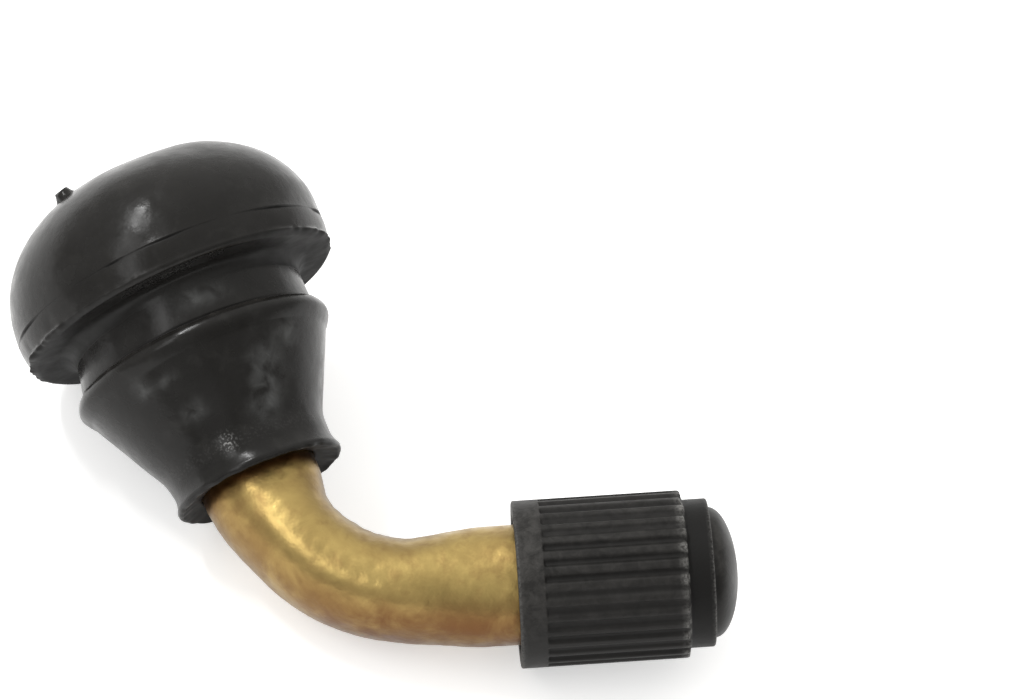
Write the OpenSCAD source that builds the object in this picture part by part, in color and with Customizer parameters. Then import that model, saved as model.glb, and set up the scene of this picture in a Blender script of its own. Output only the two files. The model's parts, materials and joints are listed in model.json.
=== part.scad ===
// Bent snap-in tyre valve, lying at rest on the floor. Millimetres, +Z up.
// Valve frame: the head's axis is Z, z = 0 is the foot's sealing face, and the stem bends towards +X.
// Tip frame: z runs along the straight tip of the stem, with z = 0 where the bend ends.

/* [Head] */
// Largest radius of the domed foot
foot_r = 9.95; // [9:0.05:11]
// Height of the dome above its largest radius
dome_h = 7.65; // [6:0.05:9]
// Roundness of the dome, 2 is an ellipse
dome_power = 2.25; // [1.8:0.05:2.6]
// Distance from the largest radius down to the sealing face
band_h = 1.6; // [1:0.05:3]
// Radius of the sealing face's outer edge
seal_edge_r = 9.75; // [8.5:0.05:10]
// Radius of the neck that sits in the wheel's hole
neck_r = 7.3; // [6.5:0.05:7.7]
// Length of the neck between the sealing face and the bulge
groove_w = 2.85; // [2:0.05:4.5]
// Radius of the bulge that keeps the valve in the wheel
bulge_r = 7.95; // [7.5:0.05:8.5]
// Length over which the bulge rises from the neck
bulge_rise = 0.75; // [0.3:0.05:1.2]
// Distance from the bulge's edge to the end of its rounded shoulder
shoulder_len = 1.55; // [1.3:0.05:2.2]
// Drop in radius over the shoulder
shoulder_drop = 0.49; // [0.2:0.01:0.9]
// Distance from the bulge's edge to the waist at the end of the cone
waist_at = 6.45; // [4:0.05:7]
// Radius of the waist
waist_r = 5.04; // [4.6:0.02:5.6]
// Distance from the bulge's edge to the end of the lip
head_len = 8.95; // [7.5:0.05:11]
// Largest radius of the lip
lip_r = 5.3; // [5:0.02:6]
// Depth of the lip's dished end
lip_dish = 0.45; // [0.1:0.05:0.8]
// Radius of the air hole in the dome
air_hole_r = 3.35; // [2.8:0.05:4]
// Depth of the air hole down to the brass
air_hole_d = 2.6; // [1.5:0.05:4]
// Rounding of the air hole's edge
air_hole_round = 0.4; // [0.1:0.05:0.8]
// Height of the moulding seam round the foot
seam_h = 0.1; // [0.02:0.01:0.2]
// Distance from the largest radius up to the moulding seam
seam_up = 0.3; // [0:0.05:0.4]
// Distance of the two moulding pips from the head's axis
pip_at = 5.2; // [4.6:0.1:7]
// Radius of a moulding pip
pip_r = 0.55; // [0.3:0.05:0.8]
// Height of a moulding pip
pip_h = 0.6; // [0.2:0.05:1]
// Direction of the first pip round the head, the second is opposite
pip_turn = 139; // [0:1:359]

/* [Stem] */
// Outer radius of the tube
tube_r = 3.62; // [3.3:0.05:3.8]
// Half width of the tube across the middle of the bend
bend_half_w = 2.94; // [2.8:0.02:3.6]
// Half height of the tube in the middle of the bend, along the bend's axis
bend_half_h = 4.05; // [3.6:0.05:4.3]
// Straight length between the lip and the bend
lead = 0.95; // [0.3:0.05:3]
// Radius of the bend's centre line
bend_r = 9.5; // [8:0.1:14]
// Angle of the bend
bend_deg = 70; // [60:0.5:90]
// Length of the straight tip
tip_len = 15.2; // [13.5:0.1:20]
// Where the thread for the cap starts on the tip
thread_from = 6.2; // [5:0.1:9]
// Radius over the thread for the cap
thread_r = 3.82; // [3.7:0.01:4.1]
// Wall of the tube
wall = 0.95; // [0.6:0.05:1.2]
// Radius of the bore under the core's seat
bore_r = 2.1; // [1.95:0.05:2.3]
// Radius of the mouth that takes the core
mouth_r = 2.62; // [2.5:0.01:2.8]
// Radius of the root's head, moulded into the rubber
root_r = 4.7; // [4:0.1:6]
// Length of the root's head
root_len = 3.2; // [1.5:0.1:6]

/* [Cap] */
// Radius over the flutes and the skirt
cap_r = 5.0; // [4.6:0.01:5.4]
// Where the cap's open end sits on the tip
cap_from = 5.5; // [4:0.1:8]
// Length of the plain skirt
skirt_len = 1.55; // [0.8:0.05:3]
// Plastic between the seal and the foot of the crown
cap_top = 1.2; // [0.6:0.02:2]
// Number of flutes
flutes = 32; // [24:1:40]
// Radius of one flute
flute_r = 0.27; // [0.15:0.01:0.4]
// Radius of the collar
collar_r = 4.42; // [4.1:0.02:4.6]
// Length of the collar
collar_len = 1.5; // [0.8:0.05:2.5]
// Radius of the domed crown
crown_r = 3.9; // [3:0.05:4.1]
// Height of the domed crown
crown_h = 1.6; // [0.8:0.05:2.5]
// Clearance between the cap's thread and the stem's
thread_gap = 0.06; // [0.03:0.01:0.1]
// Clearance of the cap's open end round the stem
skirt_gap = 0.33; // [0.15:0.01:0.4]
// Depth of the cap's open end before its thread
skirt_bore = 1.2; // [0.6:0.05:2]
// Thickness of the seal
seal_t = 0.6; // [0.4:0.05:1.2]
// Inner radius of the seal
seal_hole_r = 2.5; // [2.3:0.05:3]

/* [Core] */
// Clearance between the plug's thread and the stem's mouth
core_gap = 0.06; // [0.03:0.01:0.1]
// Distance of the plug's top below the stem's end
plug_sink = 0.9; // [0.5:0.05:1.5]
// Length of the plug's bridge
bridge_len = 2.0; // [1:0.1:3]
// Width of the plug's bridge
bridge_w = 2.5; // [2:0.1:3]
// Length of the plug's thread
plug_len = 1.7; // [1:0.1:2.5]
// Outer radius of the barrel
barrel_r = 1.75; // [1.6:0.01:1.9]
// Wall of the barrel
barrel_wall = 0.4; // [0.25:0.01:0.45]
// Length of the barrel
barrel_len = 8.1; // [7:0.1:9]
// Thickness of the barrel's floor
barrel_floor = 1.0; // [0.5:0.05:1.5]
// Length of the tapered gasket
gasket_len = 1.2; // [0.8:0.05:2]
// Radius of the pin
pin_r = 0.42; // [0.35:0.01:0.5]
// Clearance of the pin in the plug and the barrel
pin_gap = 0.33; // [0.1:0.01:0.35]
// Distance of the pin's tip below the stem's end
pin_sink = 0.25; // [0.1:0.05:0.6]
// Thickness of the washer that closes the barrel
washer_t = 0.8; // [0.5:0.05:1.2]
// Floor of the cup that holds the washer
cup_floor = 0.6; // [0.3:0.05:1]
// Wall of the cup
cup_wall = 0.24; // [0.15:0.01:0.4]
// Thickness of the pin's collar
collar_t = 0.5; // [0.3:0.05:0.8]
// Radius of the spring's wire
wire_r = 0.16; // [0.1:0.01:0.2]
// Radius of the spring to the middle of its wire
coil_r = 0.95; // [0.85:0.01:1.05]
// Turns of the spring
coil_turns = 8; // [5:1:12]

/* [Hidden] */
$fn = 96;
// small roundings, chamfers and running clearances
skin_gap = 0.02;
seal_gap = 0.1;
seam_w = 0.36;
edge_round = 0.4;
neck_round = 0.4;
waist_soft = 0.2;
lip_round = 0.3;
lip_in = 0.25;
lip_flare = 1.05;
root_slope = 0.8;
thread_end = 0.5;
cap_edge = 0.12;
collar_edge = 0.15;
recess_r = seal_hole_r - 0.2;
mouth_edge = 0.35;
swivel_gap = 0.1;
swivel_fit = 0.05;
swivel_len = 0.8;
flange_drop = 0.8;
flange_t = 0.5;
flange_gap = 0.32;
gasket_gap = 0.03;
seat_gap = 0.1;
washer_proud = 0.1;
cup_gap = 0.15;
collar_gap = 0.5;
pin_tail = 0.3;
pin_edge = 0.2;
// how far a cut runs past the face that it opens
over = 1;

// heights in the valve frame
dome_z = -band_h - dome_h;
root_z = dome_z + air_hole_d;
hole_edge_r = air_hole_r + air_hole_round;
lip_z = groove_w + head_len;
bend_z = lip_z + lead;
bend_end = [bend_r * (1 - cos(bend_deg)), 0, bend_z + bend_r * sin(bend_deg)];
tip_dir = [sin(bend_deg), 0, cos(bend_deg)];

// lengths along the tube's centre line, which starts inside the rubber
sweep_lap = 1.4;
sweep_from = lip_z - sweep_lap;
sweep_lead = bend_z - sweep_from;
arc_len = bend_r * bend_deg * PI / 180;
bend_stop = sweep_lead + arc_len;
sweep_len = bend_stop + thread_from + thread_end;
sweep_rings = 44;
sweep_sides = 48;
// how far the flattening reaches past the bend, and its share of the bend at each end
flat_after = 4.0;
flat_in = 0.3;
flat_out = 0.15;

// stations along the tip for the cap
cap_seat = tip_len + seal_t + seal_gap - cap_from;
crown_from = cap_seat + cap_top;
collar_from = crown_from - collar_len;

// stations along the tip for the core, from the stem's end inwards
bridge_z = tip_len - plug_sink - bridge_len;
plug_z = bridge_z - plug_len;
barrel_top = plug_z - swivel_gap;
barrel_z = barrel_top - barrel_len;
flange_z = barrel_top - flange_drop;
gasket_z = flange_z - gasket_len;
seat_z = gasket_z - seat_gap;
spring_z = barrel_z + barrel_floor;
spring_top = plug_z - swivel_len - collar_gap - collar_t;
cup_z = barrel_z - washer_t - cup_floor;
cup_r = barrel_r - cup_gap;
barrel_in = barrel_r - barrel_wall;
plug_r = mouth_r - core_gap;
pin_hole = pin_r + pin_gap;

// smooth step from 0 to 1, and points on an arc or a quarter of an ellipse
function ease(t) = let (c = min(1, max(0, t))) c * c * (3 - 2 * c);
function arc(middle, r, from, to, steps) =
    [for (k = [0:steps]) let (a = from + (to - from) * k / steps) middle + [r[0] * cos(a), r[1] * sin(a)]];

// height of the dome at radius r
function dome_at(r) = -band_h - dome_h * pow(1 - pow(r / foot_r, dome_power), 1 / dome_power);

// radius of the head at distance z below the bulge's edge: a straight cone that softens into the waist
// and then flares into the lip
cone_slope = (bulge_r - shoulder_drop - waist_r) / (waist_at - shoulder_len);
function soft(x) = (x + sqrt(x * x + waist_soft * waist_soft)) / 2;
function flare(z) = pow(max(0, (z - head_len + lip_round) / lip_flare + 1), 2);
function cone_at(z) = waist_r + soft(cone_slope * (waist_at - z)) + (lip_r - waist_r) * flare(z);
function shoulder_at(t) = bulge_r - shoulder_drop * pow(t, 1.5);

// outlines as radius and height, from the air hole round the head, and from the cap's rim to its crown
dome_steps = 20;
cone_steps = 14;
head_outline = concat(
    [[0, root_z], [air_hole_r, root_z]],
    arc([hole_edge_r, dome_at(hole_edge_r) + air_hole_round], [air_hole_round, air_hole_round], 180, 270, 5),
    [for (k = [1:dome_steps - 1]) let (r = hole_edge_r + (foot_r - hole_edge_r) * sin(90 * k / dome_steps))
        [r, dome_at(r)]],
    [for (s = [-3, -1, 1, 3]) [foot_r + (abs(s) == 1 ? seam_h : 0), -band_h - seam_up + seam_w * s / 6]],
    [[foot_r, -band_h]],
    arc([seal_edge_r - edge_round, -edge_round], [edge_round, edge_round], 0, 90, 5),
    arc([neck_r + neck_round, neck_round], [neck_round, neck_round], 270, 180, 4),
    arc([neck_r, groove_w + bulge_rise], [bulge_r - neck_r, bulge_rise], -90, 0, 6),
    [for (k = [1:4]) [shoulder_at(k / 5), groove_w + bulge_rise + (shoulder_len - bulge_rise) * k / 5]],
    [for (k = [0:cone_steps]) let (z = shoulder_len + (head_len - lip_round - shoulder_len) * k / cone_steps)
        [cone_at(z), groove_w + z]],
    arc([lip_r - lip_in, lip_z - lip_round], [lip_in, lip_round], 18, 90, 4),
    [[tube_r, lip_z - lip_dish], [0, lip_z - lip_dish]]);
cap_outline = concat(
    [[0, 0], [cap_r - cap_edge, 0], [cap_r, cap_edge], [cap_r, collar_from - cap_edge],
     [cap_r - cap_edge, collar_from], [collar_r, collar_from], [collar_r, crown_from - collar_edge],
     [collar_r - collar_edge, crown_from]],
    arc([0, crown_from], [crown_r, crown_h], 0, 90, 12));

// a moulding pip stands square on the dome, with a blunt end
pip_lean = atan2(dome_at(pip_at + pip_r) - dome_at(pip_at - pip_r), 2 * pip_r);
pip_foot = [pip_at, 0, dome_at(pip_at)];
pip_dir = [sin(pip_lean), 0, -cos(pip_lean)];
pip_outline = [[0, -pip_r], [pip_r, -pip_r], [pip_r, 0.6 * pip_h], [0.6 * pip_r, pip_h], [0, pip_h]];
pip_turns = [pip_turn, pip_turn + 180];

// the tube's centre line at length u, the turn of its direction, and its section's half width and height
function path_turn(u) = min(bend_deg, max(0, (u - sweep_lead) / arc_len * bend_deg));
function path_at(u) =
    let (t = path_turn(u), on = max(0, u - bend_stop))
    [bend_r * (1 - cos(t)), 0, sweep_from + min(u, sweep_lead) + bend_r * sin(t)] + on * tip_dir;
function flatness(u) =
    ease((u - sweep_lead + lead) / (lead + flat_in * arc_len))
    * ease((bend_stop + flat_after - u) / (flat_after + flat_out * arc_len));
function half_w(u) = tube_r - skin_gap + (bend_half_w - tube_r) * flatness(u);
function half_h(u) = tube_r - skin_gap + (bend_half_h - tube_r) * flatness(u);

// how far the head, the pips, the tube and the cap reach in a direction of the valve frame
function rings_reach(rings, d, axis) =
    let (along = d * axis, across = sqrt(max(0, 1 - along * along)))
    max([for (p = rings) p[1] * along + p[0] * across]);
function head_reach(d) = rings_reach(head_outline, d, [0, 0, 1]);
function turned(v, a) = [v[0] * cos(a), v[0] * sin(a), v[2]];
function pips_reach(d) =
    max([for (a = pip_turns) d * turned(pip_foot, a) + rings_reach(pip_outline, d, turned(pip_dir, a))]);
function cap_reach(d) = d * (bend_end + cap_from * tip_dir) + rings_reach(cap_outline, d, tip_dir);
function tube_reach(d) = max([for (i = [0:sweep_rings])
    let (u = sweep_len * i / sweep_rings, t = path_turn(u))
    path_at(u) * d + norm([half_w(u) * (cos(t) * d[0] - sin(t) * d[2]), half_h(u) * d[1]])]);
function reach(d) = max(head_reach(d), pips_reach(d), tube_reach(d), cap_reach(d));

// a floor direction in the valve frame, when the tip is rolled about its axis and then raised
function from_floor(v, lie) =
    let (q = 90 - bend_deg,
         a = [v[0] * cos(lie[1]) + v[2] * sin(lie[1]), v[1], v[2] * cos(lie[1]) - v[0] * sin(lie[1])],
         b = [a[0], a[1] * cos(lie[0]) + a[2] * sin(lie[0]), a[2] * cos(lie[0]) - a[1] * sin(lie[0])])
    [b[0] * cos(q) - b[2] * sin(q), b[1], b[0] * sin(q) + b[2] * cos(q)];

// the valve lies on three points, the foot's rim, the underside of the bend and the cap's rim:
// roll and rise are changed step by step until all three reach down equally far
lie_step = 0.05;
lie_start = [110, 8];
function lie_miss(lie) =
    let (d = from_floor([0, 0, -1], lie), foot = head_reach(d)) [foot - tube_reach(d), foot - cap_reach(d)];
function settle(lie, left) =
    left == 0 ? lie :
    let (f = lie_miss(lie),
         a = (lie_miss(lie + [lie_step, 0]) - f) / lie_step,
         b = (lie_miss(lie + [0, lie_step]) - f) / lie_step,
         det = a[0] * b[1] - a[1] * b[0])
    settle(lie - [f[0] * b[1] - f[1] * b[0], a[0] * f[1] - a[1] * f[0]] / det, left - 1);
lie = settle(lie_start, 8);
function middle(v) = (reach(from_floor(v, lie)) - reach(from_floor(-v, lie))) / 2;
lie_shift = [-middle([1, 0, 0]), -middle([0, 1, 0]), reach(from_floor([0, 0, -1], lie))];

module lying() {
    translate(lie_shift) rotate([0, -lie[1], 0]) rotate([lie[0], 0, 0]) rotate([0, 90 - bend_deg, 0])
        children();
}

module to_tip(z) {
    translate(bend_end) rotate([0, bend_deg, 0]) translate([0, 0, z]) children();
}

module on_tip(z) {
    lying() to_tip(z) children();
}

module ring(r_out, r_in, h) {
    difference() {
        cylinder(r = r_out, h = h);
        translate([0, 0, -over]) cylinder(r = r_in, h = h + 2 * over);
    }
}

module pip() {
    translate(pip_foot) rotate([0, 180 - pip_lean, 0]) rotate_extrude($fn = 24) polygon(pip_outline);
}

// the stem's root: a flanged head and the tube up to where the sweep starts
module root_solid() {
    translate([0, 0, root_z]) cylinder(r = root_r, h = root_len - root_slope);
    translate([0, 0, root_z + root_len - root_slope]) cylinder(r1 = root_r, r2 = tube_r, h = root_slope);
    translate([0, 0, root_z]) cylinder(r = tube_r, h = sweep_from + thread_end - root_z);
}

module rubber_body() {
    color([0.07, 0.065, 0.06]) lying() difference() {
        union() {
            rotate_extrude() polygon(head_outline);
            for (a = pip_turns) rotate([0, 0, a]) pip();
        }
        root_solid();
        translate([0, 0, sweep_from]) cylinder(r = tube_r, h = lip_z - sweep_from + over);
    }
}

// the bent tube up to length u_end, its skin moved in by inset
module tube_sweep(u_end, inset) {
    points = [for (i = [0:sweep_rings]) let (u = u_end * i / sweep_rings, t = path_turn(u))
        for (k = [0:sweep_sides - 1]) let (a = 360 * k / sweep_sides)
            path_at(u) + (half_w(u) - inset) * cos(a) * [cos(t), 0, -sin(t)]
            + (half_h(u) - inset) * sin(a) * [0, 1, 0]];
    sides = [for (i = [0:sweep_rings - 1]) for (k = [0:sweep_sides - 1]) let (
            a = i * sweep_sides + k,
            b = i * sweep_sides + (k + 1) % sweep_sides)
        each [[a, a + sweep_sides, b], [b, a + sweep_sides, b + sweep_sides]]];
    first = [for (k = [0:sweep_sides - 1]) k];
    last = [for (k = [sweep_sides - 1:-1:0]) sweep_rings * sweep_sides + k];
    polyhedron(points, concat(sides, [first, last]), convexity = 6);
}

module stem_bore() {
    translate([0, 0, root_z - over]) cylinder(r = tube_r - wall, h = sweep_from + thread_end - root_z + over);
    tube_sweep(bend_stop + thread_end, wall);
    to_tip(mouth_edge) cylinder(r = bore_r, h = tip_len);
    to_tip(seat_z) cylinder(r1 = bore_r, r2 = mouth_r, h = gasket_len);
    to_tip(seat_z + gasket_len) cylinder(r = mouth_r, h = tip_len);
    to_tip(tip_len - mouth_edge) cylinder(r1 = mouth_r, r2 = mouth_r + 2 * mouth_edge, h = 2 * mouth_edge);
}

module brass_stem() {
    color([0.68, 0.52, 0.24]) lying() difference() {
        union() {
            root_solid();
            tube_sweep(sweep_len, 0);
            to_tip(thread_from) cylinder(r = thread_r, h = tip_len - thread_from - thread_end);
            to_tip(tip_len - thread_end)
                cylinder(r1 = thread_r, r2 = thread_r - 0.8 * thread_end, h = thread_end);
        }
        stem_bore();
    }
}

module dust_cap() {
    thread_hole = thread_r + thread_gap;
    skirt_hole = thread_r + skirt_gap;
    color([0.05, 0.05, 0.05]) on_tip(cap_from) difference() {
        rotate_extrude() polygon(cap_outline);
        for (k = [0:flutes - 1]) rotate([0, 0, 360 * k / flutes]) translate([cap_r, 0, skirt_len])
            cylinder(r = flute_r, h = crown_from, $fn = 16);
        translate([0, 0, -over]) cylinder(r = skirt_hole, h = skirt_bore + over);
        translate([0, 0, skirt_bore]) cylinder(r1 = skirt_hole, r2 = thread_hole, h = skirt_gap);
        cylinder(r = thread_hole, h = cap_seat);
        cylinder(r = recess_r, h = crown_from);
    }
}

module cap_seal() {
    color([0.12, 0.11, 0.1]) on_tip(tip_len) ring(thread_r - seal_gap, seal_hole_r, seal_t);
}

module core_plug() {
    color([0.75, 0.6, 0.3]) on_tip(0) difference() {
        union() {
            translate([0, 0, plug_z]) cylinder(r = plug_r, h = plug_len);
            translate([0, 0, bridge_z]) intersection() {
                cylinder(r = plug_r, h = bridge_len);
                translate([-plug_r, -bridge_w / 2, 0]) cube([2 * plug_r, bridge_w, bridge_len]);
            }
            translate([0, 0, plug_z - swivel_len])
                cylinder(r = barrel_in - swivel_fit, h = swivel_len + swivel_gap);
        }
        translate([0, 0, plug_z - swivel_len - over]) cylinder(r = pin_hole, h = tip_len);
    }
}

module core_barrel() {
    color([0.7, 0.56, 0.28]) on_tip(0) difference() {
        union() {
            translate([0, 0, barrel_z]) cylinder(r = barrel_r, h = barrel_len);
            translate([0, 0, flange_z]) cylinder(r = mouth_r - flange_gap, h = flange_t);
        }
        translate([0, 0, barrel_z + barrel_floor]) cylinder(r = barrel_in, h = barrel_len);
        translate([0, 0, barrel_z - over]) cylinder(r = pin_hole, h = barrel_floor + 2 * over);
    }
}

module core_gasket() {
    color([0.75, 0.2, 0.15]) on_tip(gasket_z) difference() {
        cylinder(r1 = bore_r - gasket_gap, r2 = mouth_r - gasket_gap, h = gasket_len);
        translate([0, 0, -over]) cylinder(r = barrel_r, h = gasket_len + 2 * over);
    }
}

module core_pin() {
    pin_len = tip_len - pin_sink - cup_z + pin_tail;
    color([0.72, 0.58, 0.3]) on_tip(cup_z - pin_tail) {
        cylinder(r = pin_r, h = pin_len - pin_edge);
        translate([0, 0, pin_len - pin_edge]) cylinder(r1 = pin_r, r2 = 0.64 * pin_r, h = pin_edge);
    }
}

module pin_collar() {
    color([0.65, 0.5, 0.25]) on_tip(spring_top) ring(coil_r + wire_r, pin_r, collar_t);
}

module core_cup() {
    color([0.7, 0.56, 0.28]) on_tip(cup_z) difference() {
        ring(cup_r, pin_r, cup_floor + washer_t - washer_proud);
        translate([0, 0, cup_floor]) cylinder(r = cup_r - cup_wall, h = washer_t);
    }
}

module seat_washer() {
    color([0.06, 0.06, 0.06]) on_tip(cup_z + cup_floor) ring(cup_r - cup_wall, pin_r, washer_t);
}

module core_spring() {
    steps = coil_turns * 18;
    sides = 8;
    low = spring_z + wire_r;
    rise = spring_top - spring_z - 2 * wire_r;
    points = [for (i = [0:steps]) let (a = 360 * coil_turns * i / steps, z = low + rise * i / steps)
        for (k = [0:sides - 1]) let (b = 360 * k / sides, r = coil_r + wire_r * cos(b))
            [r * cos(a), r * sin(a), z + wire_r * sin(b)]];
    walls = [for (i = [0:steps - 1]) for (k = [0:sides - 1]) let (
            a = i * sides + k,
            b = i * sides + (k + 1) % sides)
        each [[a, b, a + sides], [b, b + sides, a + sides]]];
    first = [for (k = [sides - 1:-1:0]) k];
    last = [for (k = [0:sides - 1]) steps * sides + k];
    color([0.6, 0.6, 0.62]) on_tip(0) polyhedron(points, concat(walls, [first, last]), convexity = 20);
}

rubber_body();
brass_stem();
dust_cap();
cap_seal();
core_plug();
core_barrel();
core_gasket();
core_pin();
pin_collar();
core_cup();
seat_washer();
core_spring();
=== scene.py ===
# %% [markdown]
# # Bent snap-in tyre valve
# A snap-in tyre valve has a moulded rubber head that is pulled through a hole in the wheel, a brass tube that
# carries the air, and a screw cap over the end of the tube. On this one the tube is bent, so that the cap can be
# reached past the wheel's hub. The valve lies on a pale table as it would come to rest: on the rim of its foot,
# on the underside of the bend and on the rim of the cap.
#
# The solids of the part are loaded first. They stay where they are, and every new piece is worked out in the same
# frame, so that it needs no fitting.

# %% Load the frame
import json
import bpy
import numpy as np
from mathutils import Matrix


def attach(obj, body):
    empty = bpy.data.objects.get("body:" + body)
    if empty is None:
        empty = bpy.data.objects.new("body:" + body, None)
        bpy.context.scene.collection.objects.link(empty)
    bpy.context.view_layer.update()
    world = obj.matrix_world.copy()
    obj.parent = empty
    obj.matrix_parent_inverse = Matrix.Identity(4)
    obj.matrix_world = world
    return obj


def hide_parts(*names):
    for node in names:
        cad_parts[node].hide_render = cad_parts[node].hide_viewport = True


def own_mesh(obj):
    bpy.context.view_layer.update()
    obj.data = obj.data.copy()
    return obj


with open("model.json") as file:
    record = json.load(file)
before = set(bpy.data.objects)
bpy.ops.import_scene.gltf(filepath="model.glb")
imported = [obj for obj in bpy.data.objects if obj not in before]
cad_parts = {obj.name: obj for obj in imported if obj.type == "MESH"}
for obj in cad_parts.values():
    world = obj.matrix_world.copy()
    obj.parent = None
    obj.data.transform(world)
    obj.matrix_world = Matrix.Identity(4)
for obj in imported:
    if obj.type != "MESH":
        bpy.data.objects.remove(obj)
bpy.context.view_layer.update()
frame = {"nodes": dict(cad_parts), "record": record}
MM = 0.001

# %% [markdown]
# The record that comes with the solids says where the valve sits in the room: the mount called `rim_seat` gives
# the head's axis and the middle of the groove, and the joint called `cap_turn` gives the axis of the tip. From
# these two axes comes the valve's own frame. Its z runs along the head, from dome to stem, with 0 at the sealing
# face, and the stem bends towards its x. All shapes below are worked out in that frame, in millimetres, because
# the numbers are then those that a maker would measure with a caliper.

# %% The valve's own frame
mounts = {mount["name"]: mount for mount in frame["record"]["mounts"]}
joints = {joint["name"]: joint for joint in frame["record"]["behaviour"]["joints"]}


def unit(vector):
    """The same direction with length one."""
    return np.asarray(vector, float) / np.linalg.norm(vector)


groove_w = mounts["rim_seat"]["dims"]["length_mm"]
head_axis = unit(mounts["rim_seat"]["axis"])
tip_axis = unit(joints["cap_turn"]["axis"])
bend_side = unit(tip_axis - (tip_axis @ head_axis) * head_axis)
valve_axes = np.stack([bend_side, np.cross(head_axis, bend_side), head_axis])
valve_origin = np.array(mounts["rim_seat"]["pos_m"]) / MM - head_axis * groove_w / 2


def to_room(points):
    """Room coordinates in metres: the valve's origin plus each coordinate times its axis."""
    return (valve_origin + points @ valve_axes) * MM


bend_turn = np.arccos(tip_axis @ head_axis)
print("bend in degrees:", round(np.degrees(bend_turn), 2))

# %% [markdown]
# The camera looks down at about 50 degrees, from a little to the left, and it is slightly rolled. A long lens keeps
# the shapes nearly parallel. The camera's three axes are worked out from azimuth, elevation and roll and are written
# straight into its matrix.

# %% Camera
azimuth, elevation, roll = np.radians([-12.995, 50.373, 11.693])
aim = np.array([9.0794, 5.1828, 6.9])
distance = 356.588
back = np.array([np.sin(azimuth) * np.cos(elevation), -np.cos(azimuth) * np.cos(elevation), np.sin(elevation)])
level = np.array([np.cos(azimuth), np.sin(azimuth), 0])
upright = np.cross(back, level)
right = level * np.cos(roll) + upright * np.sin(roll)
up = upright * np.cos(roll) - level * np.sin(roll)

lens = bpy.data.cameras.new("table_camera")
lens.sensor_width = 36
lens.lens = 205.797
lens.clip_start = 0.02
lens.clip_end = 20
camera = bpy.data.objects.new("table_camera", lens)
pose = np.eye(4)
pose[:3, :3] = np.stack([right, up, back], axis=1)
pose[:3, 3] = (aim + distance * back) * MM
camera.matrix_world = Matrix(pose.tolist())
bpy.context.scene.collection.objects.link(camera)
bpy.context.scene.camera = camera
print("camera at, in mm:", np.round(pose[:3, 3] / MM, 1).tolist())

# %% [markdown]
# Every new piece is a grid of points. Rows follow an outline or a path and columns go round it, so a column always
# closes into a ring. The rows either close too, like the skin of a ring doughnut, or end in a single point, a
# pole. One helper turns such a grid into a mesh. It also checks which way the faces look: the volume that they
# enclose must come out positive, and otherwise all faces are turned over.

# %% From a grid of points to a mesh
TURN = 2 * np.pi


def skin(name, points, poles=(), marks=None):
    """Mesh of a grid points[row, column, xyz] in valve millimetres.

    Four neighbours make a quad. Without poles the last row joins the first. With two poles, the first and last
    ring close with triangles to one point each. Marks are one number for each point, kept as attributes.
    """
    rows, columns = points.shape[:2]
    index = np.arange(rows * columns).reshape(rows, columns)
    beside = np.roll(index, -1, axis=1)
    quads = np.stack([index, beside, np.roll(beside, -1, axis=0), np.roll(index, -1, axis=0)], axis=-1)
    quads = (quads[:-1] if len(poles) else quads).reshape(-1, 4)
    fans = np.zeros((0, 3), int)
    if len(poles):
        first = np.stack([beside[0], index[0], np.full(columns, rows * columns)], axis=-1)
        last = np.stack([index[-1], beside[-1], np.full(columns, rows * columns + 1)], axis=-1)
        fans = np.concatenate([first, last])
    corners = np.concatenate([points.reshape(-1, 3), np.reshape(poles, (-1, 3))])
    halves = np.concatenate([quads[:, :3], quads[:, [0, 2, 3]], fans])
    volume = np.einsum("ij,ij->i", corners[halves[:, 0]], np.cross(corners[halves[:, 1]], corners[halves[:, 2]]))
    if volume.sum() < 0:
        quads, fans = quads[:, ::-1], fans[:, ::-1]

    mesh = bpy.data.meshes.new(name)
    mesh.vertices.add(len(corners))
    mesh.vertices.foreach_set("co", to_room(corners).astype(np.float32).ravel())
    mesh.loops.add(quads.size + fans.size)
    mesh.loops.foreach_set("vertex_index", np.concatenate([quads.ravel(), fans.ravel()]).astype(np.int32))
    mesh.polygons.add(len(quads) + len(fans))
    starts = np.concatenate([np.arange(len(quads)) * 4, quads.size + np.arange(len(fans)) * 3])
    mesh.polygons.foreach_set("loop_start", starts.astype(np.int32))
    mesh.update(calc_edges=True)
    mesh.validate()
    mesh.shade_smooth()
    for mark, values in (marks or {}).items():
        layer = mesh.attributes.new(mark, "FLOAT", "POINT")
        ends = [values[0].mean(), values[-1].mean()] if len(poles) else []
        layer.data.foreach_set("value", np.concatenate([values.ravel(), ends]).astype(np.float32))
    piece = bpy.data.objects.new(name, mesh)
    bpy.context.scene.collection.objects.link(piece)
    print(name, "has", len(quads) * 2 + len(fans), "triangles and holds", round(abs(volume.sum()) / 6, 1), "mm3")
    return piece


# %% [markdown]
# Nothing moulded or bent is perfectly even, so the shapes borrow a few small tools. `ease` is a soft step, `hump` is
# a bell, and `off` measures how far an angle lies from a direction. `wobble` makes an uneven ring from a handful of
# waves that fit whole into one turn, and `patches` makes soft dents and swellings all over a surface in the same way.
# These two draw their sizes from a seeded generator, so that each run gives the same valve. `arc`, `line` and
# `joined` put outlines together.

# %% Unevenness and outlines
def ease(t):
    """Soft step from 0 to 1: three t squared minus two t cubed, held at both ends."""
    t = np.clip(t, 0, 1)
    return t * t * (3 - 2 * t)


def hump(x, middle, width):
    """Bell that is one at the middle and fades over the width."""
    return np.exp(-((x - middle) / width) ** 2)


def off(angle, degrees):
    """Angle from a direction given in degrees, between minus half a turn and half a turn."""
    return np.mod(angle - np.radians(degrees) + np.pi, TURN) - np.pi


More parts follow.
